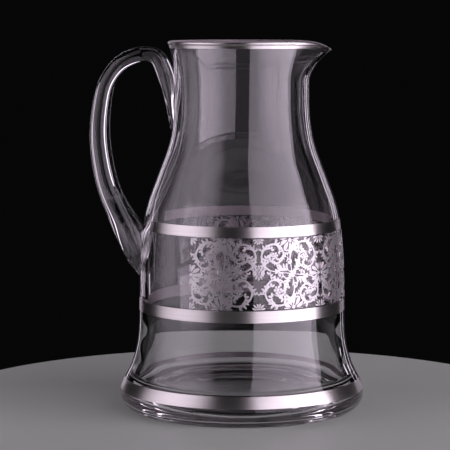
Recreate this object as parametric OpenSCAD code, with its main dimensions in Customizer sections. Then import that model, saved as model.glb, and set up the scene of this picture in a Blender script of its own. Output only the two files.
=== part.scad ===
/* [Body] */
// Height from the resting face to the top of the rim
height = 235; // [200:1:270]
// Radius at the widest part of the foot
foot_r = 78.8; // [72:0.1:86]
// Radius of the belly
belly_r = 66; // [60:0.1:70]
// Radius at the narrowest part of the neck
neck_r = 43.1; // [38:0.1:48]
// Radius of the rim, away from the spout
rim_r = 47.3; // [45:0.1:52]

/* [Wall] */
// Wall thickness just above the foot
foot_wall = 7; // [5:0.1:9]
// Wall thickness at the belly
belly_wall = 5; // [3.5:0.1:6]
// Wall thickness at the neck
neck_wall = 3.8; // [3:0.1:4.5]
// Thickness of the rounded lip
lip_t = 3; // [2.4:0.1:4]
// Height of the inner floor above the resting face
floor_z = 14; // [11:0.5:17]
// Radius of the flat resting face
rest_r = 73; // [66:0.5:74]

/* [Spout] */
// How far the spout's tip stands out past the rim
spout_reach = 10.2; // [6:0.1:13]
// How far the spout's tip dips below the rim
spout_drop = 5; // [2:0.1:7]
// Half the angle that the spout takes up on the rim
spout_half_angle = 27; // [20:1:38]
// Share of the height below which the spout leaves the neck round
spout_from = 0.895; // [0.88:0.005:0.92]

/* [Handle] */
// Thickness of the handle at its middle
handle_t = 13.2; // [11:0.1:15]
// Width of the handle beside its thickness
handle_ratio = 1.06; // [0.95:0.01:1.2]
// How far the loop stands out from the jug's axis, to its middle line
handle_out = 91.7; // [86:0.1:98]

/* [Bands] */
// Height of the lower edge of the band on the rim, below the rim's top
rim_band_h = 4.3; // [3:0.1:6]
// Height of the shoulder band's lower edge
shoulder_band_z = 115.8; // [112:0.1:120]
// Height of the waist band's lower edge
waist_band_z = 63.4; // [58:0.1:66]
// Height of the foot band's lower edge
foot_band_z = 12.2; // [11:0.1:14]
// Height of the shoulder band
shoulder_band_h = 6.5; // [4:0.1:8]
// Half the angle round the handle that the shoulder band leaves bare
shoulder_band_gap = 27; // [20:0.5:34]
// Height of the waist band and the foot band
lower_band_h = 7.3; // [5:0.1:9]
// Thickness of the fired metal
metal_t = 0.3; // [0.25:0.05:0.5]

/* [Scroll panels] */
// Angle that one scroll panel takes up round the jug
panel_angle = 77.6; // [70:0.1:80]
// Gap between a panel and the bands above and below it
panel_gap = 0.8; // [0.4:0.1:2]
// Bare glass between two neighbouring panels, as an angle
panel_seam = 0.5; // [0.3:0.1:2]

/* [Hidden] */

round_fn = 96;              // sides of every round surface, and of the faceted lip
curve_steps = 4;            // points on each stretch between two stations of a curve
lip_steps = 6;              // points round the lip's edge
lip_rows = 5;               // rings of the wall between the round neck and the lip
handle_sides = 16;          // sides of the handle's section
glass_colour = [0.82, 0.86, 0.9, 0.55];
silver_colour = [0.74, 0.71, 0.73];

function mix(a, b, t) = a + (b - a) * t;
function clamp01(t) = min(max(t, 0), 1);

// A smooth curve through points, which starts and ends on the first and the last
function spline_point(a, b, c, d, t) =
    0.5 * (2 * b + (c - a) * t + (2 * a - 5 * b + 4 * c - d) * t * t
           + (3 * b - a - 3 * c + d) * t * t * t);
function spline(p, n) =
    let (last = len(p) - 1)
    concat([for (i = [0 : last - 1]) for (k = [0 : n - 1])
                spline_point(p[max(i - 1, 0)], p[i], p[i + 1], p[min(i + 2, last)], k / n)],
           [p[last]]);

// Outer radius by height. Each station is a share of the height and a radius.
body_stations = [
    [0, rest_r],
    [0.012, mix(rest_r, foot_r, 0.67)],
    [0.04, foot_r],
    [0.073, mix(belly_r, foot_r, 0.83)],
    [0.123, mix(belly_r, foot_r, 0.38)],
    [0.19, mix(belly_r, foot_r, 0.08)],
    [0.28, belly_r],
    [0.39, mix(neck_r, belly_r, 0.975)],
    [0.49, mix(neck_r, belly_r, 0.895)],
    [0.557, mix(neck_r, belly_r, 0.765)],
    [0.638, mix(neck_r, belly_r, 0.466)],
    [0.719, mix(neck_r, belly_r, 0.16)],
    [0.787, mix(neck_r, belly_r, 0.03)],
    [0.85, neck_r],
    [0.902, mix(neck_r, rim_r, 0.05)],
    [0.957, mix(neck_r, rim_r, 0.42)],
    [1, rim_r]
];
outer_curve = spline([for (s = body_stations) [s[0] * height, s[1]]], curve_steps);
function outer_r(z) = lookup(z, outer_curve);

// Wall thickness by height. It is thickest low down, where the glass gathers into the foot.
wall_stations = [
    [0.085, foot_wall * 1.3],
    [0.125, foot_wall],
    [0.18, mix(belly_wall, foot_wall, 0.8)],
    [0.28, belly_wall],
    [0.6, mix(neck_wall, belly_wall, 0.1)],
    [0.85, neck_wall],
    [1, lip_t]
];
wall_curve = [for (s = wall_stations) [s[0] * height, s[1]]];
function inner_r(z) = outer_r(z) - lookup(z, wall_curve);

split_z = spout_from * height;      // the wall is round below this and follows the spout above
lip_r = lip_t / 2;
floor_corner = 6;                   // rounding between the inner floor and the wall
wall_step = 6;                      // spacing of the inner wall's points

// Outline of the round part of the jug, as [radius, height]
outer_below = concat([for (p = outer_curve) if (p[0] < split_z) [p[1], p[0]]],
                     [[outer_r(split_z), split_z]]);
corner_z = floor_z + floor_corner;
corner_r = inner_r(corner_z);
inner_wall = concat([for (z = [split_z : -wall_step : corner_z + wall_step / 2]) [inner_r(z), z]],
                    [[corner_r, corner_z]]);
inner_corner = [for (a = [15 : 15 : 90])
    [corner_r - floor_corner * (1 - cos(a)), corner_z - floor_corner * sin(a)]];
round_outline = concat([[0, 0]], outer_below, inner_wall, inner_corner, [[0, floor_z]]);

// The spout: how far a point at this height and angle moves outwards and down
function spout_share(a) = let (t = abs(a) / spout_half_angle) exp(-pow(t, 1.7));
function spout_rise(z) = pow(clamp01((z - split_z) / (height - split_z)), 1.5);
function off_spout(a) = a > 180 ? a - 360 : a;
function lip_point(p, a) =
    let (s = spout_share(off_spout(a)), u = spout_rise(p[1]),
         r = p[0] + spout_reach * s * u)
    [r * cos(a), r * sin(a), p[1] - spout_drop * s * s * u];

// Rings of the same outline turned about the axis make one closed loop of wall
module ringed(outline) {
    n = round_fn;
    m = len(outline);
    points = [for (p = outline) for (j = [0 : n - 1]) lip_point(p, 360 * j / n)];
    faces = [for (i = [0 : m - 1]) for (j = [0 : n - 1]) for (half = [0, 1])
        let (i2 = (i + 1) % m, j2 = (j + 1) % n,
             a = i * n + j, b = i2 * n + j, c = i2 * n + j2, d = i * n + j2)
        half == 0 ? [a, b, c] : [a, c, d]];
    polyhedron(points, faces, convexity = 6);
}

lip_z = height - lip_r;             // centre of the lip's rounding
lip_mid_r = rim_r - lip_r;
lip_ease = 1;                       // how far below that centre the straight wall stops
lip_wall_top = lip_z - lip_ease;
lip_rise = lip_wall_top - split_z;
lip_root = 1.5;                     // how deep the lip is let into the round wall below it
lip_step = 0.15;                    // how far the let-in part stays inside that wall's two faces
root_outer = [for (z = [split_z - lip_root, split_z]) [outer_r(split_z) - lip_step, z]];
root_inner = [for (z = [split_z, split_z - lip_root]) [inner_r(split_z) + lip_step, z]];
lip_outer = [for (k = [1 : lip_rows]) let (z = split_z + lip_rise * k / lip_rows) [outer_r(z), z]];
lip_inner = [for (k = [lip_rows : -1 : 1]) let (z = split_z + lip_rise * k / lip_rows) [inner_r(z), z]];
lip_round = [for (k = [0 : lip_steps]) let (a = 180 * k / lip_steps)
    [lip_mid_r + lip_r * cos(a), lip_z + lip_r * sin(a)]];

module round_body() {
    rotate_extrude($fn = round_fn) polygon(round_outline);
}

module glass_body() {
    color(glass_colour) union() {
        round_body();
        ringed(concat(root_outer, lip_outer, lip_round, lip_inner, root_inner));
    }
}

// The solid that the handle is pressed against
module handle_seat() {
    outline = concat([[0, 0]], [for (p = outer_curve) [p[1], p[0]]], [[0, height]]);
    rotate_extrude($fn = round_fn) polygon(outline);
}

// Middle line of the handle from its upper tail to its lower pad: x, height, half thickness
// and half width. It lies in the plane of the spout, on the other side of the jug.
half_t = handle_t / 2;
half_w = half_t * handle_ratio;
handle_line = [
    [-43, 0.755 * height, 2.4, 3.5],
    [-44.6, 0.805 * height, 3, 6.5],
    [-46, 0.86 * height, 4.6, 9],
    [-48.5, 0.906 * height, 5.8, half_w + 2],
    [-53, 0.951 * height, 5.2, half_w + 0.5],
    [-58, 0.963 * height, 4.8, half_w],
    [-64, 0.965 * height, 4.5, half_w * 0.97],
    [mix(-64, -handle_out, 0.25), 0.957 * height, 5, half_w * 0.95],
    [mix(-64, -handle_out, 0.54), 0.935 * height, 5.3, half_w * 0.93],
    [mix(-64, -handle_out, 0.8), 0.892 * height, 5.3, half_w * 0.93],
    [mix(-64, -handle_out, 0.925), 0.84 * height, half_t * 0.9, half_w * 0.95],
    [-handle_out, 0.757 * height, half_t, half_w],
    [-handle_out + 1.3, 0.684 * height, half_t * 1.04, half_w * 1.03],
    [-handle_out + 4.7, 0.611 * height, half_t * 1.08, half_w * 1.08],
    [-handle_out + 9.4, 0.56 * height, half_t * 1.15, half_w * 1.22],
    [-77, 0.514 * height, half_t * 1.3, half_w * 1.6],
    [-70.5, 0.464 * height, half_t * 1.52, half_w * 2.15],
    [-64, 0.409 * height, half_t * 1.52, half_w * 2.2],
    [-58.5, 0.366 * height, half_t * 1.15, half_w * 1.5]
];

module handle_loop() {
    rings = spline(handle_line, curve_steps);
    last = len(rings) - 1;
    n = handle_sides;
    points = [for (i = [0 : last])
        let (p = rings[i], q = rings[min(i + 1, last)] - rings[max(i - 1, 0)],
             l = norm([q[0], q[1]]), nx = -q[1] / l, nz = q[0] / l)
        for (k = [0 : n - 1]) let (a = 360 * k / n)
            [p[0] + nx * p[2] * cos(a), p[3] * sin(a), p[1] + nz * p[2] * cos(a)]];
    sides = [for (i = [0 : last - 1]) for (k = [0 : n - 1]) for (half = [0, 1])
        let (k2 = (k + 1) % n, a = i * n + k, b = i * n + k2, c = (i + 1) * n + k2, d = (i + 1) * n + k)
        half == 0 ? [a, b, c] : [a, c, d]];
    ends = [[for (k = [n - 1 : -1 : 0]) k], [for (k = [0 : n - 1]) last * n + k]];
    polyhedron(points, concat(sides, ends), convexity = 8);
}

module handle() {
    color(glass_colour) difference() {
        handle_loop();
        handle_seat();
    }
}

// A skin of fired metal on the outside of the glass, between two heights
function skin_outline(z0, z1) =
    let (n = 4,
         inside = [for (k = [0 : n]) let (z = mix(z0, z1, k / n)) [outer_r(z), z]],
         outside = [for (k = [n : -1 : 0]) let (z = mix(z0, z1, k / n)) [outer_r(z) + metal_t, z]])
    concat(inside, outside);

// A band round the jug, open for the angle of a gap on the handle's side
module band(z0, h, gap = 0) {
    color(silver_colour) rotate([0, 0, 180 + gap])
        rotate_extrude(angle = 360 - 2 * gap, $fn = round_fn) polygon(skin_outline(z0, z0 + h));
}

module rim_band() {
    low = height - rim_band_h;
    crest = [for (k = [0 : 3]) let (a = 30 * k) [cos(a), sin(a)]];
    wall = [for (k = [0 : 2]) let (z = mix(low, lip_wall_top, k / 2)) [outer_r(z), z]];
    inside = concat(wall, [for (c = crest) [lip_mid_r + lip_r * c[0], lip_z + lip_r * c[1]]]);
    skin_r = lip_r + metal_t;
    outside = concat([for (p = wall) [p[0] + metal_t, p[1]]],
                     [for (c = crest) [lip_mid_r + skin_r * c[0], lip_z + skin_r * c[1]]]);
    m = len(outside) - 1;
    color(silver_colour) ringed(concat(outside, [for (k = [m : -1 : 0]) inside[k]]));
}

module shoulder_band() { band(shoulder_band_z, shoulder_band_h, shoulder_band_gap); }
module waist_band() { band(waist_band_z, lower_band_h); }
module foot_band() { band(foot_band_z, lower_band_h); }

// One transfer of the frieze, which turns about the middle one under the spout
module scroll_panel(place) {
    z0 = waist_band_z + lower_band_h + panel_gap;
    z1 = shoulder_band_z - panel_gap;
    sweep = panel_angle - panel_seam;
    color(silver_colour) rotate([0, 0, place * panel_angle - sweep / 2])
        rotate_extrude(angle = sweep, $fn = round_fn) polygon(skin_outline(z0, z1));
}

module scroll_panel_front() { scroll_panel(-1); }
module scroll_panel_spout() { scroll_panel(0); }
module scroll_panel_back() { scroll_panel(1); }

glass_body();
handle();
rim_band();
shoulder_band();
waist_band();
foot_band();
scroll_panel_front();
scroll_panel_spout();
scroll_panel_back();
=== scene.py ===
import math

import bmesh
import bpy
import numpy as np
from mathutils import Matrix, Vector
from mathutils.geometry import delaunay_2d_cdt


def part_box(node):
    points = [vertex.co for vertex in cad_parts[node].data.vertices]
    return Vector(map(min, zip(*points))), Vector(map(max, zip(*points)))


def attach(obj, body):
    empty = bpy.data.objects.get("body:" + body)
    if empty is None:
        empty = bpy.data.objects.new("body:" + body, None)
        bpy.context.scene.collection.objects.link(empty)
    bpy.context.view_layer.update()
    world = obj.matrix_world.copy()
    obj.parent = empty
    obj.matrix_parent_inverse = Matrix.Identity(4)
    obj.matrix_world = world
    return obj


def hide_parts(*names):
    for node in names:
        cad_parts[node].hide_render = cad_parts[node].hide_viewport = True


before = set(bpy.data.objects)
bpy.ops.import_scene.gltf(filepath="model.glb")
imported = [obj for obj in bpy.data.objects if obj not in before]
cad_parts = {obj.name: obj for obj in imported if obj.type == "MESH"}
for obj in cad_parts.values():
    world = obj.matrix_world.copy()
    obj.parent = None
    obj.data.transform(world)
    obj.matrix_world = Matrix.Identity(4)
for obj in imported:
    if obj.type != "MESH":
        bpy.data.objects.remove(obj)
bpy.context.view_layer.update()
mm = 0.001
scene = bpy.context.scene
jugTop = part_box("glass_body")[1].z
print("frame loaded:", len(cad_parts), "nodes")


def blended(a, b, t):
    # the place a share t of the way from a to b
    return a + (b - a) * t


def splinePoints(points, steps):
    # a smooth curve through the points, as an array with one row for each place on it
    pts = np.array(points, float)
    last = len(pts) - 1
    made = []
    for i in range(last):
        a, b = pts[max(i - 1, 0)], pts[i]
        c, d = pts[i + 1], pts[min(i + 2, last)]
        for k in range(steps):
            t = k / steps
            made.append(0.5 * (2 * b + (c - a) * t + (2 * a - 5 * b + 4 * c - d) * t * t
                               + (3 * b - a - 3 * c + d) * t ** 3))
    made.append(pts[last])
    return np.array(made)


def eased(values, passes):
    # evens out a row of numbers and keeps its two ends
    v = np.array(values, float)
    for _ in range(passes):
        v[1:-1] = (v[:-2] + 2 * v[1:-1] + v[2:]) / 4
    return v


class Shade:
    # one number or colour in a material, so that a pattern can be written as a sum
    def __init__(self, finish, socket):
        self.finish = finish
        self.socket = socket

    def joined(self, operation, a, b):
        return self.finish.node("ShaderNodeMath", {"operation": operation}, {0: a, 1: b})

    def __add__(self, other):
        return self.joined("ADD", self, other)

    def __mul__(self, other):
        return self.joined("MULTIPLY", self, other)

    __radd__ = __add__
    __rmul__ = __mul__


class Board:
    # a tree of nodes to add to
    def __init__(self, tree):
        self.tree = tree

    def node(self, kind, settings=None, sockets=None, output=0):
        made = self.tree.nodes.new(kind)
        for key, value in (settings or {}).items():
            setattr(made, key, value)
        for key, value in (sockets or {}).items():
            self.feed(made.inputs[key], value)
        return Shade(self, made.outputs[output])

    def feed(self, socket, value):
        if isinstance(value, Shade):
            self.tree.links.new(value.socket, socket)
        else:
            socket.default_value = value


class Finish(Board):
    # a material and the nodes that it is made of
    def __init__(self, name):
        self.material = bpy.data.materials.new(name)
        self.material.use_nodes = True
        super().__init__(self.material.node_tree)
        self.shader = self.tree.nodes["Principled BSDF"]

    def set(self, **values):
        for key, value in values.items():
            self.feed(self.shader.inputs[key.replace("_", " ")], value)

    def place(self, scale=(1, 1, 1)):
        # object coordinates, stretched
        spot = self.node("ShaderNodeTexCoord", output="Object")
        return self.node("ShaderNodeMapping", {}, {"Vector": spot, "Scale": scale})

    def noise(self, where, scale, detail=3.0, roughness=0.55):
        return self.node("ShaderNodeTexNoise", {"noise_dimensions": "3D"},
                         {"Vector": where, "Scale": scale, "Detail": detail, "Roughness": roughness})

    def band(self, value, low, high, newLow=0.0, newHigh=1.0):
        # the value's range low..high spread over another range
        return self.node("ShaderNodeMapRange", {"clamp": True},
                         {"Value": value, "From Min": low, "From Max": high,
                          "To Min": newLow, "To Max": newHigh})

    def bump(self, height, strength, distance):
        return self.node("ShaderNodeBump", {},
                         {"Height": height, "Strength": strength, "Distance": distance})

    def tint(self, factor, a, b):
        return self.node("ShaderNodeMix", {"data_type": "RGBA"},
                         {"Factor": factor, 6: a, 7: b}, output=2)


glassLooks = {
    "tint": (0.985, 0.98, 0.985, 1),
    "ior": 1.5,
    "haze": 0.012,              # roughness of the cleanest places
    "smear": 0.03,              # what fingers and wiping add to it
    "smearScale": 42.0,
    "ripple": 0.06,             # strength of the slow waves in blown glass
    "rippleDepth": 0.4 * mm,
    "bodyRipples": 55.0,        # how close together they lie, in the body and in the handle
    "handleRipples": 90.0,
}


def makeGlass(name, rippleScale):
    paint = Finish(name)
    spot = paint.place()
    smear = paint.noise(paint.place((1, 1, 0.35)), glassLooks["smearScale"], 5.0, 0.6)
    haze = glassLooks["haze"] + glassLooks["smear"] * paint.band(smear, 0.5, 0.75)
    slow = paint.noise(spot, rippleScale, 2.0, 0.45)
    paint.set(Base_Color=glassLooks["tint"], Metallic=0.0, IOR=glassLooks["ior"],
              Transmission_Weight=1.0, Roughness=haze,
              Normal=paint.bump(slow, glassLooks["ripple"], glassLooks["rippleDepth"]))
    return paint.material


silverLooks = {
    "pale": (0.74, 0.72, 0.7, 1),
    "worn": (0.6, 0.575, 0.555, 1),
    "lineScale": 2400.0,        # how close the brush lines lie, up the jug
    "lineSpread": 14,           # the same round the jug, where they run long
    "lineDepth": 0.03 * mm,
    "streakScale": 160,         # broader streaks, up the jug and round it
    "streakSpread": 9,
    "cloudScale": 34.0,         # patches of tarnish
    "roughness": 0.25,
    "roughnessSpan": 0.1,
    "cloudRoughness": 0.06,
    "brushed": 0.8,
    "tarnish": (0.4, 0.37, 0.36, 1),
    "underside": (0.62, 0.55, 0.58, 1),     # what shows through the glass
}


def makeBandSilver(name):
    paint = Finish(name)
    look = silverLooks
    lineSpot = paint.place((look["lineSpread"], look["lineSpread"], look["lineScale"]))
    streakSpot = paint.place((look["streakSpread"], look["streakSpread"], look["streakScale"]))
    lines = paint.noise(lineSpot, 1.0, 4.0, 0.6)
    broad = paint.noise(streakSpot, 1.0, 3.0, 0.5)
    cloud = paint.noise(paint.place(), look["cloudScale"], 5.0, 0.6)
    tone = paint.tint(paint.band(0.6 * lines + 0.4 * broad, 0.35, 0.65), look["worn"], look["pale"])
    tone = paint.tint(paint.band(cloud, 0.58, 0.82, 0.0, 0.3), tone, look["tarnish"])
    rough = paint.band(lines, 0.3, 0.7, look["roughness"], look["roughness"] + look["roughnessSpan"])
    # a quarter turn lays the long highlights up and down, across the brush lines
    paint.set(Base_Color=tone, Metallic=1.0, Roughness=rough + look["cloudRoughness"] * cloud,
              Anisotropic=look["brushed"], Anisotropic_Rotation=0.25,
              Normal=paint.bump(lines, 0.18, look["lineDepth"]))
    return paint.material


def makeUnderside(name):
    # the face of the fired metal that lies on the glass is dull
    paint = Finish(name)
    grain = paint.noise(paint.place(), 1500.0, 3.0, 0.6)
    cloud = paint.noise(paint.place(), 50.0, 4.0, 0.6)
    dull = silverLooks["underside"]
    tone = paint.tint(paint.band(0.5 * grain + 0.5 * cloud, 0.38, 0.62),
                      [0.82 * channel for channel in dull[:3]] + [1], dull)
    paint.set(Base_Color=tone, Metallic=0.35, Roughness=paint.band(grain, 0.3, 0.7, 0.55, 0.7),
              Normal=paint.bump(grain, 0.2, 0.02 * mm))
    return paint.material


scrollLooks = {
    "pale": (0.65, 0.63, 0.64, 1),
    "worn": (0.54, 0.52, 0.53, 1),
    "tarnish": (0.4, 0.38, 0.39, 1),
    "grainScale": 2600.0,
    "grainDepth": 0.03 * mm,
    "cloudScale": 60.0,
    "roughness": (0.34, 0.46),
}


def makeScrollSilver(name):
    paint = Finish(name)
    look = scrollLooks
    grain = paint.noise(paint.place(), look["grainScale"], 3.0, 0.6)
    cloud = paint.noise(paint.place(), look["cloudScale"], 4.0, 0.6)
    tone = paint.tint(paint.band(grain, 0.35, 0.65), look["worn"], look["pale"])
    tone = paint.tint(paint.band(cloud, 0.55, 0.8, 0.0, 0.35), tone, look["tarnish"])
    paint.set(Base_Color=tone, Metallic=1.0,
              Roughness=paint.band(grain, 0.3, 0.7, *look["roughness"]),
              Normal=paint.bump(grain, 0.25, look["grainDepth"]))
    return paint.material


clearGlass = makeGlass("clearGlass", glassLooks["bodyRipples"])
handleGlass = makeGlass("handleGlass", glassLooks["handleRipples"])
bandSilver = makeBandSilver("bandSilver")
scrollSilver = makeScrollSilver("scrollSilver")
silverUnderside = makeUnderside("silverUnderside")
print("materials made")


def finishPiece(name, bm, material, node, crease=180, under=None):
    # under is a second material, for the faces that look at the jug's axis
    if under:
        for face in bm.faces:
            middle = face.calc_center_median()
            if face.normal.x * middle.x + face.normal.y * middle.y < 0:
                face.material_index = 1
    mesh = bpy.data.meshes.new(name)
    bm.to_mesh(mesh)
    bm.free()
    mesh.materials.append(material)
    if under:
        mesh.materials.append(under)
    mesh.polygons.foreach_set("use_smooth", [True] * len(mesh.polygons))
    if crease < 180:
        mesh.set_sharp_from_angle(angle=math.radians(crease))
    piece = bpy.data.objects.new(name, mesh)
    scene.collection.objects.link(piece)
    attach(piece, "root")
    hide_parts(node)
    print("piece", name, len(mesh.polygons), "faces")
    return piece


def turned(outline, segments, closed):
    # an outline of radius and height, spun round the jug's axis
    bm = bmesh.new()
    row = [bm.verts.new((r, 0, z)) for r, z in outline]
    pairs = list(zip(row[:-1], row[1:]))
    if closed:
        pairs.append((row[-1], row[0]))
    edges = [bm.edges.new(pair) for pair in pairs]
    bmesh.ops.spin(bm, geom=row + edges, cent=(0, 0, 0), axis=(0, 0, 1), angle=2 * math.pi,
                   steps=segments, use_merge=True)
    bmesh.ops.remove_doubles(bm, verts=bm.verts, dist=0.0005 * mm)
    bmesh.ops.recalc_face_normals(bm, faces=bm.faces)
    return bm


jug = {
    "height": jugTop,
    "footR": 78.8 * mm,
    "bellyR": 66.0 * mm,
    "neckR": 43.1 * mm,
    "rimR": 47.3 * mm,
    "restR": 73.0 * mm,
    "puntR": 60.0 * mm,         # the hollow under the foot
    "puntDepth": 3.0 * mm,
    "footWall": 7.0 * mm,
    "bellyWall": 5.0 * mm,
    "neckWall": 3.8 * mm,
    "lipT": 3.0 * mm,
    "floorZ": 14.0 * mm,
    "floorCorner": 6.0 * mm,
    "floorWave": 0.25 * mm,     # rings left in the floor by the tool that shaped it
    "floorRings": 34,           # how close together they lie
    "segments": 180,
    "easing": 24,               # passes that even out the outline, and the wall under it
    "wallEasing": 400,
}

spout = {
    "from": 0.895,              # where it starts, as a share of the jug's height
    "reach": 10.2 * mm,
    "drop": 5.0 * mm,
    "halfAngle": math.radians(27),
    "lift": 1.5,                # higher values keep the pull nearer the lip
    "sides": 1.7,               # higher values give it steeper sides
}


def bodyStations(j):
    # height as a share, and outer radius
    def foot(t):
        return blended(j["bellyR"], j["footR"], t)

    def neck(t):
        return blended(j["neckR"], j["bellyR"], t)

    def rim(t):
        return blended(j["neckR"], j["rimR"], t)

    return [(0.0, j["restR"]), (0.012, blended(j["restR"], j["footR"], 0.67)), (0.04, j["footR"]),
            (0.073, foot(0.83)), (0.123, foot(0.38)), (0.19, foot(0.08)), (0.28, j["bellyR"]),
            (0.39, neck(0.975)), (0.49, neck(0.895)), (0.557, neck(0.765)), (0.638, neck(0.466)),
            (0.719, neck(0.16)), (0.787, neck(0.03)), (0.85, j["neckR"]), (0.902, rim(0.05)),
            (0.957, rim(0.42)), (1.0, j["rimR"])]


stationCurve = splinePoints(bodyStations(jug), 24)
evenHeights = np.linspace(0, jug["height"], 471)
outerRadii = eased(np.interp(evenHeights, stationCurve[:, 0] * jug["height"], stationCurve[:, 1]),
                   jug["easing"])


def outerR(z):
    return float(np.interp(z, evenHeights, outerRadii))


wallHeights = np.array([0.085, 0.125, 0.18, 0.28, 0.6, 0.85, 1.0]) * jug["height"]
wallSizes = [jug["footWall"] * 1.3, jug["footWall"],
             blended(jug["bellyWall"], jug["footWall"], 0.8), jug["bellyWall"],
             blended(jug["neckWall"], jug["bellyWall"], 0.1), jug["neckWall"], jug["lipT"]]
evenWalls = eased(np.interp(evenHeights, wallHeights, wallSizes), jug["wallEasing"])


def innerR(z):
    return outerR(z) - float(np.interp(z, evenHeights, evenWalls))


def pulledSpout(bm):
    # draws the lip out and down where the jug pours
    low = spout["from"] * jug["height"]
    for v in bm.verts:
        rise = (v.co.z - low) / (jug["height"] - low)
        if rise <= 0:
            continue
        rise = min(rise, 1.0) ** spout["lift"]
        angle = math.atan2(v.co.y, v.co.x)
        share = math.exp(-(abs(angle) / spout["halfAngle"]) ** spout["sides"])
        radius = math.hypot(v.co.x, v.co.y)
        if radius > 0:
            grown = (radius + spout["reach"] * share * rise) / radius
            v.co.x *= grown
            v.co.y *= grown
        v.co.z -= spout["drop"] * share * share * rise


def makeGlassBody():
    j = jug
    lipR = j["lipT"] / 2
    lipZ = j["height"] - lipR
    punt = [(j["puntR"] * t, j["puntDepth"] * math.cos(t * math.pi / 2) ** 1.4)
            for t in np.linspace(0, 0.98, 24)]
    punt += [(blended(j["puntR"], j["restR"], t), 0.0) for t in np.linspace(0.06, 0.94, 8)]
    outside = [(outerR(z), z) for z in np.linspace(0, lipZ - lipR, 200)]
    lipMid = j["rimR"] - lipR
    lip = [(lipMid + lipR * math.cos(a), lipZ + lipR * math.sin(a))
           for a in np.linspace(0, math.pi, 15)]
    cornerZ = j["floorZ"] + j["floorCorner"]
    inside = [(innerR(z), z) for z in np.linspace(lipZ - lipR, cornerZ, 180)]
    cornerR = innerR(cornerZ)
    corner = [(cornerR - j["floorCorner"] * (1 - math.cos(a)), cornerZ - j["floorCorner"] * math.sin(a))
              for a in np.linspace(0.1, math.pi / 2, 14)]
    flatR = cornerR - j["floorCorner"]
    floor = []
    for t in np.linspace(0.985, 0, 90):
        wave = math.sin(t * j["floorRings"]) * t ** 3 * (1 - t ** 12)
        floor.append((flatR * t, j["floorZ"] + j["floorWave"] * wave))
    bm = turned(punt + outside + lip + inside + corner + floor, j["segments"], False)
    pulledSpout(bm)
    return finishPiece("glassBody", bm, clearGlass, "glass_body")


makeGlassBody()


handle = {
    "thick": 13.2 * mm,
    "ratio": 1.06,
    "out": 91.7 * mm,
    "sides": 48,
    "steps": 10,
    "easing": (16, 16, 60, 60),     # passes that even out its line, its thickness and its width
    "seat": 0.4 * mm,               # how deep it sits in the wall, so that the two are one glass
    "fillet": 14,                   # passes that round the joint
    "filletReach": 3,               # rows of faces beside the joint that are rounded with it
}


def handleStations(h):
    # x, height, half thickness and half width, from the upper tail to the lower pad
    half = h["thick"] / 2
    wide = half * h["ratio"]
    tall = jug["height"]
    out = -h["out"]
    return [
        (-43 * mm, 0.755 * tall, 2.4 * mm, 3.5 * mm),
        (-44.6 * mm, 0.805 * tall, 3 * mm, 6.5 * mm),
        (-46 * mm, 0.86 * tall, 4.6 * mm, 9 * mm),
        (-48.5 * mm, 0.906 * tall, 5.8 * mm, wide + 2 * mm),
        (-53 * mm, 0.951 * tall, 5.2 * mm, wide + 0.5 * mm),
        (-58 * mm, 0.963 * tall, 4.8 * mm, wide),
        (-64 * mm, 0.965 * tall, 4.5 * mm, wide * 0.97),
        (blended(-64 * mm, out, 0.25), 0.957 * tall, 5 * mm, wide * 0.95),
        (blended(-64 * mm, out, 0.54), 0.935 * tall, 5.3 * mm, wide * 0.93),
        (blended(-64 * mm, out, 0.8), 0.892 * tall, 5.3 * mm, wide * 0.93),
        (blended(-64 * mm, out, 0.925), 0.84 * tall, half * 0.9, wide * 0.95),
        (out, 0.757 * tall, half, wide),
        (out + 1.3 * mm, 0.684 * tall, half * 1.04, wide * 1.03),
        (out + 4.7 * mm, 0.611 * tall, half * 1.08, wide * 1.08),
        (out + 9.4 * mm, 0.56 * tall, half * 1.15, wide * 1.22),
        (-77 * mm, 0.514 * tall, half * 1.3, wide * 1.6),
        (-70.5 * mm, 0.464 * tall, half * 1.52, wide * 2.15),
        (-64 * mm, 0.409 * tall, half * 1.52, wide * 2.2),
        (-58.5 * mm, 0.366 * tall, half * 1.15, wide * 1.5),
    ]


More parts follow.
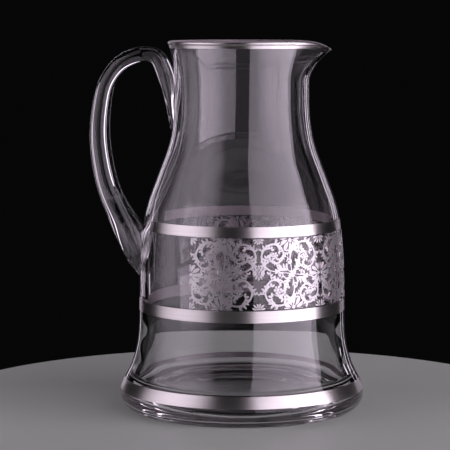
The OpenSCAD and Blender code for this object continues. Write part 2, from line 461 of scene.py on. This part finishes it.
def makeHandle():
    h = handle
    line = splinePoints(handleStations(h), h["steps"])
    for column, passes in enumerate(h["easing"]):
        line[:, column] = eased(line[:, column], passes)
    bm = bmesh.new()
    ring = bmesh.ops.create_circle(bm, segments=h["sides"], radius=1.0)["verts"]
    angles = [math.atan2(v.co.y, v.co.x) for v in ring]
    loop = list({e for v in ring for e in v.link_edges})

    def layRing(verts, i):
        x, z, thick, wide = line[i]
        dx, dz = (line[min(i + 1, len(line) - 1)] - line[max(i - 1, 0)])[:2]
        size = math.hypot(dx, dz)
        nx, nz = -dz / size, dx / size
        for v, a in zip(verts, angles):
            v.co = (x + nx * thick * math.cos(a), wide * math.sin(a), z + nz * thick * math.cos(a))

    layRing(ring, 0)
    bmesh.ops.contextual_create(bm, geom=loop)
    for i in range(1, len(line)):
        grown = bmesh.ops.extrude_edge_only(bm, edges=loop)["geom"]
        fresh = {e for e in grown if isinstance(e, bmesh.types.BMVert)}
        follower = {}
        for v in ring:
            for e in v.link_edges:
                other = e.other_vert(v)
                if other in fresh:
                    follower[v] = other
        ring = [follower[v] for v in ring]
        loop = [e for e in grown if isinstance(e, bmesh.types.BMEdge)
                and all(v in fresh for v in e.verts)]
        layRing(ring, i)
    bmesh.ops.contextual_create(bm, geom=loop)
    ends = [f for f in bm.faces if len(f.verts) > 4]
    bmesh.ops.poke(bm, faces=ends)
    bmesh.ops.recalc_face_normals(bm, faces=bm.faces)

    def seated():
        # lays what is buried against the wall, a little inside its face
        buried = []
        for v in bm.verts:
            radius = math.hypot(v.co.x, v.co.y)
            wanted = outerR(v.co.z) - h["seat"]
            if radius < wanted:
                v.co.x *= wanted / max(radius, 1e-6)
                v.co.y *= wanted / max(radius, 1e-6)
                buried.append(v)
        return buried

    for _ in range(h["fillet"]):
        near = set(seated())
        for _ in range(h["filletReach"]):
            near |= {e.other_vert(v) for v in near for e in v.link_edges}
        bmesh.ops.smooth_vert(bm, verts=list(near), factor=0.5,
                              use_axis_x=True, use_axis_y=True, use_axis_z=True)
    seated()
    return finishPiece("glassHandle", bm, handleGlass, "handle")


makeHandle()


band = {
    "skin": 0.12 * mm,                  # how far the metal stands out of the glass, and sinks into it
    "rimH": 4.3 * mm,
    "rimWrap": math.radians(105),       # how far the rim's metal goes over the lip
    "shoulderGap": math.radians(27),    # half of what stays bare behind the handle
    "rows": 8,
    "steps": 168,                       # of a band with a gap
}


def ringBand(name, node, gap=0.0):
    low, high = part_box(node)
    heights = np.linspace(low.z, high.z, band["rows"] + 1)
    outside = [(outerR(z) + band["skin"], z) for z in heights]
    inside = [(outerR(z) - band["skin"], z) for z in heights[::-1]]
    bm = bmesh.new()
    row = [bm.verts.new((r, 0, z)) for r, z in outside + inside]
    edges = [bm.edges.new(pair) for pair in zip(row, row[1:] + row[:1])]
    if gap:
        bmesh.ops.rotate(bm, verts=row, cent=(0, 0, 0),
                         matrix=Matrix.Rotation(math.pi + gap, 3, "Z"))
        bmesh.ops.contextual_create(bm, geom=edges)
        start = list(bm.faces)
        bmesh.ops.spin(bm, geom=start + row + edges, cent=(0, 0, 0), axis=(0, 0, 1),
                       angle=2 * math.pi - 2 * gap, steps=band["steps"])
    else:
        bmesh.ops.spin(bm, geom=row + edges, cent=(0, 0, 0), axis=(0, 0, 1), angle=2 * math.pi,
                       steps=jug["segments"], use_merge=True)
    bmesh.ops.remove_doubles(bm, verts=bm.verts, dist=0.0005 * mm)
    bmesh.ops.recalc_face_normals(bm, faces=bm.faces)
    return finishPiece(name, bm, bandSilver, node, crease=40, under=silverUnderside)


def makeRimBand():
    lipR = jug["lipT"] / 2
    lipZ = jug["height"] - lipR
    lipMid = jug["rimR"] - lipR
    skin = band["skin"]
    heights = np.linspace(jug["height"] - band["rimH"], lipZ - lipR * 0.6, 6)
    crest = np.linspace(0, band["rimWrap"], 9)
    outside = [(outerR(z) + skin, z) for z in heights]
    outside += [(lipMid + (lipR + skin) * math.cos(a), lipZ + (lipR + skin) * math.sin(a))
                for a in crest]
    inside = [(lipMid + (lipR - skin) * math.cos(a), lipZ + (lipR - skin) * math.sin(a))
              for a in crest[::-1]]
    inside += [(outerR(z) - skin, z) for z in heights[::-1]]
    bm = turned(outside + inside, jug["segments"], True)
    pulledSpout(bm)
    return finishPiece("rimBand", bm, bandSilver, "rim_band", crease=40,
                       under=silverUnderside)


makeRimBand()
ringBand("shoulderBand", "shoulder_band", band["shoulderGap"])
ringBand("waistBand", "waist_band")
ringBand("footBand", "foot_band")
print("bands made")


# The frieze is plain acanthus scrollwork. One half of a panel is laid out flat, in millimetres,
# from its mirror line at u = 0 to its outer edge at halfW, and from v = 0 up to its height halfH.
# Everything on it follows from four circles round a root.

frieze = {
    "angle": 77.1,              # degrees that a panel takes up, less the bare seam
    "turn": 77.6,               # degrees from one panel's middle to the next
    "gridStep": 3.0,            # between the cuts that let the flat panel bend
    "seam": 0.12,               # half of what stays bare along the mirror line
    "margin": 0.9,              # from the scrolls to the panel's edges
    "large": 0.258,             # radius of the large scrolls, as a share of the panel's height
    "small": 0.218,             # the same for the small ones
    "stem": 1.15,                # a stem's width where it starts
    "stemTip": 0.55,
    "turns": 1.4,               # how far a scroll winds
    "eye": 0.3,                 # its radius at the end, as a share of its first one
    "leaves": 6,                # along the inner side of a stem
    "outerLeaves": 0.8,         # share of a stem that has leaves on its outer side too
    "lobes": 4,                 # pairs of lobes on a leaf
    "outerLobes": 3,            # the same on an outer leaf
    "petals": 6,
    "plumeLobes": 7,
    "plumeSpread": math.radians(88),
}
panelLow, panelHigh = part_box("scroll_panel_spout")
friezeR = outerR((panelLow.z + panelHigh.z) / 2)
halfW = math.radians(frieze["angle"] / 2) * friezeR / mm
halfH = (panelHigh.z - panelLow.z) / mm


def strokeShape(points, startWidth, endWidth, swell=0.0, steps=3):
    # a tapered stroke along a curve through points, with round ends
    line = splinePoints(points, steps)
    last = len(line) - 1
    left, right = [], []
    for i, spot in enumerate(line):
        d = line[min(i + 1, last)] - line[max(i - 1, 0)]
        d = d / max(np.hypot(*d), 1e-9)
        t = i / last
        w = (blended(startWidth, endWidth, t) + swell * math.sin(math.pi * t)) / 2
        w *= min(1.0, 0.45 + 6 * t, 0.45 + 6 * (1 - t))
        left.append(spot + w * np.array([-d[1], d[0]]))
        right.append(spot - w * np.array([-d[1], d[0]]))
    return left + right[::-1]


def ballShape(x, y, r, sides=12):
    return [(x + r * math.cos(2 * math.pi * k / sides), y + r * math.sin(2 * math.pi * k / sides))
            for k in range(sides)]


def lobeShape(x, y, heading, length, width, bow=0.0, steps=7):
    # one pointed lobe from its foot, widest past its middle, bowed to the left of its heading
    forward = np.array([math.cos(heading), math.sin(heading)])
    side = np.array([-forward[1], forward[0]])
    left, right = [], []
    for k in range(steps + 1):
        t = k / steps
        middle = np.array([x, y]) + forward * length * t + side * length * bow * 4 * t * (1 - t)
        w = width / 2 * math.sin(math.pi * t ** 1.3) ** 0.7 if 0 < k < steps else 0.0
        left.append(middle + side * w)
        right.append(middle - side * w)
    return left + right[-2:0:-1]


def acanthusShapes(x, y, heading, length, curl, lobes):
    # a leaf that curls over: a rib, lobes in pairs along it, and one at its tip
    step = length / (lobes + 1)
    rib = [(x, y)]
    turn = heading
    over = 1 if curl > 0 else -1
    shapes = []
    for k in range(1, lobes + 1):
        x, y = x + step * math.cos(turn), y + step * math.sin(turn)
        rib.append((x, y))
        for side in (-1, 1):
            size = length * (0.44 - 0.24 * k / lobes) * (0.8 if side == over else 1.15)
            shapes.append(lobeShape(x, y, turn + side * math.radians(40), size, step * 0.74,
                                    -0.16 * side))
        turn += curl / lobes
    shapes.append(lobeShape(x, y, turn, step * 1.8, step * 0.85, 0.14 * over))
    shapes.append(strokeShape(rib, 0.45, 0.5))
    return shapes


def rosetteShapes(x, y, radius):
    shapes = [ballShape(x, y, radius * 0.34)]
    for k in range(frieze["petals"]):
        a = 2 * math.pi * k / frieze["petals"]
        foot = radius * 0.3
        shapes.append(lobeShape(x + foot * math.cos(a), y + foot * math.sin(a), a,
                                radius * 0.75, radius * 0.62, 0.12))
    return shapes


def windingShapes(x, y, radius, start, turns, eye, hand, width, tip, lead=()):
    # a stem that winds in, which may have a straight lead. Returns it and a rule for places along it.
    def along(t):
        a = math.radians(start) + hand * 2 * math.pi * turns * t
        r = radius * eye ** (t ** 1.3)
        return x + r * math.cos(a), y + r * math.sin(a), a + hand * math.pi / 2

    steps = round(22 * turns)
    route = list(lead) + [along(k / steps)[:2] for k in range(steps + 1)]
    return strokeShape(route, width, tip, 0.25), along


def scrollShapes(x, y, radius, rootU, rootV):
    # a stem runs from the root until it touches the scroll's circle, and winds in clockwise
    f = frieze
    reach = math.hypot(rootU - x, rootV - y)
    start = math.degrees(math.atan2(rootV - y, rootU - x) - math.acos(min(radius / reach, 1.0)))
    stem, along = windingShapes(x, y, radius, start, f["turns"], f["eye"], -1, f["stem"],
                                f["stemTip"], [(rootU, rootV)])
    shapes = [stem]
    for k in range(f["leaves"]):
        t = (k + 0.3) / (f["leaves"] + 1.0)
        u, v, travel = along(t)
        # the inner leaves shrink towards the scroll's eye, and curl over with the stem
        shapes += acanthusShapes(u, v, travel - math.radians(16), radius * (0.98 - 0.56 * t),
                                 math.radians(-85), f["lobes"])
        if t < f["outerLeaves"]:
            # the outer ones grow as the stem winds away from its circle
            shapes += acanthusShapes(u, v, travel + math.radians(28), radius * (0.36 + 0.4 * t),
                                     math.radians(70), f["outerLobes"])
    return shapes + rosetteShapes(x, y, radius * 0.24)


def tendrilShapes(x, y, radius, start, hand):
    # a little curl with a bud in its eye
    curl, along = windingShapes(x, y, radius, start, 1.15, 0.35, hand, 0.75, 0.5)
    u, v, travel = along(0.12)
    return [curl, ballShape(x, y, radius * 0.26),
            lobeShape(u, v, travel - hand * math.radians(35), radius * 1.1, radius * 0.42, -0.2 * hand)]


def plumeShapes(x, y, heading, size):
    # a fan of slender lobes over a bud
    bud = size * 0.12
    shapes = [ballShape(x + bud * math.cos(heading), y + bud * math.sin(heading), size * 0.13)]
    for k in range(frieze["plumeLobes"]):
        lean = 2 * k / (frieze["plumeLobes"] - 1) - 1
        a = heading + frieze["plumeSpread"] * lean
        foot = size * 0.2
        shapes.append(lobeShape(x + foot * math.cos(a), y + foot * math.sin(a), a,
                                size * (0.82 - 0.3 * abs(lean)), size * 0.25, 0.14 * lean))
    return shapes


def friezeHalf():
    # two large and two small scrolls whirl round a root, and plumes and curls fill what they leave
    m = frieze["margin"]
    large = frieze["large"] * halfH
    small = frieze["small"] * halfH
    rootU = halfW / 2
    rootV = halfH / 2
    shapes = rosetteShapes(rootU, rootV, large * 0.2)
    for u, v, r in ((m + large, m + large, large), (halfW - m - small, m + small, small),
                    (halfW - m - large, halfH - m - large, large),
                    (m + small, halfH - m - small, small)):
        shapes += scrollShapes(u, v, r, rootU, rootV)
    up = math.pi / 2
    lean = (large - small) / 2
    # each plume: where it grows, which way it points, and its size as a share of a large scroll
    plumes = ((rootU + lean, 0.0, up, 0.85), (rootU - lean, halfH, -up, 0.85),
              (0.0, rootV + lean, up, 0.5), (0.0, rootV + lean, -up, 0.42),
              (halfW, rootV - lean, math.pi, 0.8), (0.0, 0.0, up / 2, 0.42),
              (halfW, 0.0, up * 1.5, 0.42), (halfW, halfH, -up * 1.5, 0.46),
              (0.0, halfH, -up / 2, 0.36))
    for u, v, heading, size in plumes:
        shapes += plumeShapes(u, v, heading, large * size)
    curl = small * 0.2
    rootGap = 1.6
    for side in (-1, 1):
        # what lies between the root's stems, and again half a turn round it
        turn = 0 if side > 0 else math.pi
        for heading, size, bend in ((0.75, 0.72, 1.2), (2.45, 0.95, 1.3)):
            a = heading + turn
            shapes += acanthusShapes(rootU + rootGap * math.cos(a), rootV + rootGap * math.sin(a), a,
                                     large * size, bend, 5)
        shapes += tendrilShapes(rootU + side * large * 0.72, rootV + side * large * 0.04, curl,
                                90 * side, 1)
        shapes += tendrilShapes(rootU - side * curl, rootV + side * large * 0.66, curl,
                                180 * side, -1)
    return shapes


def flatPanel(shapes):
    # joins the overlapping shapes into one flat sheet, cut where it has to bend round the jug
    points, edges, faces = [], [], []
    for shape in shapes:
        first = len(points)
        doubled = sum(a[0] * b[1] - a[1] * b[0] for a, b in zip(shape, shape[1:] + shape[:1]))
        points += [Vector(p) for p in (shape if doubled > 0 else shape[::-1])]
        faces.append(list(range(first, first + len(shape))))
    u = frieze["gridStep"]
    while u < halfW:
        edges.append((len(points), len(points) + 1))
        points += [Vector((u, -1)), Vector((u, halfH + 1))]
        u += frieze["gridStep"]
    verts, _, tris, _, _, origin = delaunay_2d_cdt(points, edges, faces, 0, 1e-4, True)
    return verts, [tri for tri, source in zip(tris, origin) if source]


def makeFlatSheet():
    verts, tris = flatPanel(friezeHalf())
    bm = bmesh.new()
    made = {}
    for tri in tris:
        corners = []
        for i in tri:
            if i not in made:
                made[i] = bm.verts.new((verts[i].x, verts[i].y, 0))
            corners.append(made[i])
        if len(set(corners)) == 3:
            bm.faces.new(corners)
    bmesh.ops.remove_doubles(bm, verts=bm.verts, dist=1e-3)
    for spot, outwards in (((frieze["seam"], 0, 0), (-1, 0, 0)), ((halfW, 0, 0), (1, 0, 0)),
                           ((0, 0, 0), (0, -1, 0)), ((0, halfH, 0), (0, 1, 0))):
        bmesh.ops.bisect_plane(bm, geom=bm.verts[:] + bm.edges[:] + bm.faces[:], plane_co=spot,
                               plane_no=outwards, dist=1e-4, clear_outer=True)
    bmesh.ops.mirror(bm, geom=bm.verts[:] + bm.edges[:] + bm.faces[:], axis="X", merge_dist=-1)
    for v in bm.verts[:]:
        # two shapes that only touch at a corner are parted
        rims = [e for e in v.link_edges if e.is_boundary]
        if len(rims) > 2:
            bmesh.utils.vert_separate(v, rims)
    bmesh.ops.recalc_face_normals(bm, faces=bm.faces)
    bmesh.ops.solidify(bm, geom=bm.faces[:], thickness=2 * band["skin"] / mm)
    return bm


flatSheet = makeFlatSheet()


def makePanel(name, node, place):
    # bends a copy of the flat panel onto the belly, place panels round from the spout
    bm = flatSheet.copy()
    depths = [v.co.z for v in bm.verts]
    middle = (min(depths) + max(depths)) / 2
    for v in bm.verts:
        angle = math.radians(frieze["turn"] * place) + v.co.x * mm / friezeR
        z = panelLow.z + v.co.y * mm
        radius = outerR(z) + (v.co.z - middle) * mm
        v.co = (radius * math.cos(angle), radius * math.sin(angle), z)
    bmesh.ops.recalc_face_normals(bm, faces=bm.faces)
    return finishPiece(name, bm, scrollSilver, node, crease=40, under=silverUnderside)


makePanel("scrollPanelFront", "scroll_panel_front", -1)
makePanel("scrollPanelSpout", "scroll_panel_spout", 0)
makePanel("scrollPanelBack", "scroll_panel_back", 1)
flatSheet.free()
print("frieze made")


studio = {
    "floorR": 0.21,
    "floorT": 0.012,
    "floorTone": (0.46, 0.5, 0.45, 1),
    "air": 0.002,               # what little light comes from all round
    "lilac": (0.96, 0.84, 1.0),
    "aimZ": 0.12,               # height on the jug's axis that the lights face
    "rearZ": 0.45,              # height of the rear panels
    "rearTall": 1.3,
}


def makeFloor():
    bm = bmesh.new()
    bmesh.ops.create_cone(bm, cap_ends=True, segments=160, radius1=studio["floorR"],
                          radius2=studio["floorR"], depth=studio["floorT"])
    bmesh.ops.translate(bm, verts=bm.verts, vec=(0, 0, -studio["floorT"] / 2))
    mesh = bpy.data.meshes.new("floor")
    bm.to_mesh(mesh)
    bm.free()
    paint = Finish("paleFloor")
    grain = paint.noise(paint.place(), 900.0, 2.0, 0.5)
    paint.set(Base_Color=studio["floorTone"], Roughness=paint.band(grain, 0.3, 0.7, 0.42, 0.55))
    mesh.materials.append(paint.material)
    floor = bpy.data.objects.new("floor", mesh)
    scene.collection.objects.link(floor)


def softBox(name, azimuth, height, distance, wide, tall, glow, fade=None):
    # azimuth 0 is the jug's side nearest the camera, and grows towards the spout.
    # glow is the panel's own brightness, whatever its size.
    a = math.radians(azimuth)
    place = Vector((math.sin(a) * distance, -math.cos(a) * distance, height))
    lamp = bpy.data.lights.new(name, "AREA")
    lamp.shape = "RECTANGLE"
    lamp.size, lamp.size_y = wide, tall
    lamp.energy = glow * math.pi * wide * tall
    lamp.color = studio["lilac"]
    if fade:
        lamp.use_nodes = True
        board = Board(lamp.node_tree)
        spread = board.node("ShaderNodeNewGeometry", output=5)
        across = board.node("ShaderNodeSeparateXYZ", {}, {0: spread}, output=0)
        up = board.node("ShaderNodeSeparateXYZ", {}, {0: spread}, output=1)
        board.feed(lamp.node_tree.nodes["Emission"].inputs["Strength"], fade(board, across, up))
    holder = bpy.data.objects.new(name, lamp)
    facing = (place - Vector((0, 0, studio["aimZ"]))).to_track_quat("Z", "Y").to_matrix().to_4x4()
    holder.matrix_world = Matrix.Translation(place) @ facing
    holder.visible_camera = False
    scene.collection.objects.link(holder)


# each rear panel: azimuth, distance, width and glow. The thin ones draw lines along the glass's edges.
rearLights = {
    "edgeLeft": (-145, 1.1, 0.03, 1.0),
    "lineLeft": (-152, 1.1, 0.07, 1.9),
    "edgeRight": (146, 1.1, 0.04, 1.7),
    "lineRight": (156, 1.1, 0.05, 1.6),
    "glowLeft": (-160, 1.2, 0.44, 0.04),
    "glowRight": (160, 1.2, 0.44, 0.045),
    "glowBack": (180, 1.2, 0.34, 0.025),
}


def sideFade(board, across, up):
    # brightens from one side to the other
    return 0.4 + 0.6 * across


def roundFade(board, across, up):
    # dark at both sides, and darker low down
    return board.node("ShaderNodeMath", {"operation": "SINE"}, {0: math.pi * across}) * (0.45 + 0.55 * up)


def makeLights():
    softBox("rightBox", 54, 0.2, 1.0, 1.6, 2.1, 3.4, sideFade)
    softBox("leftBox", -66, 0.2, 1.0, 1.7, 1.8, 1.9, roundFade)
    for name, (azimuth, distance, wide, glow) in rearLights.items():
        softBox(name, azimuth, studio["rearZ"], distance, wide, studio["rearTall"], glow)
    softBox("topBox", 180, 1.3, 0.35, 0.7, 0.7, 0.5)
    world = bpy.data.worlds.new("studioAir")
    world.use_nodes = True
    tone = studio["air"]
    world.node_tree.nodes["Background"].inputs["Color"].default_value = (tone, tone, tone * 1.05, 1)
    scene.world = world


camera = {
    "azimuth": 3.3,
    "distance": 1.2467,
    "height": 0.252,
    "pitch": 6.18,
    "turn": 0.5,                # degrees that it looks past the jug's axis
    "lens": 155.9,
}


def makeCamera():
    c = camera
    a = math.radians(c["azimuth"])
    lens = bpy.data.cameras.new("camera")
    lens.lens = c["lens"]
    lens.sensor_width = 36
    holder = bpy.data.objects.new("camera", lens)
    holder.location = (math.sin(a) * c["distance"], -math.cos(a) * c["distance"], c["height"])
    holder.rotation_euler = (math.radians(90 - c["pitch"]), 0, a + math.radians(c["turn"]))
    scene.collection.objects.link(holder)
    scene.camera = holder


makeFloor()
makeLights()
makeCamera()
scene.view_settings.view_transform = "Standard"
print("studio made")
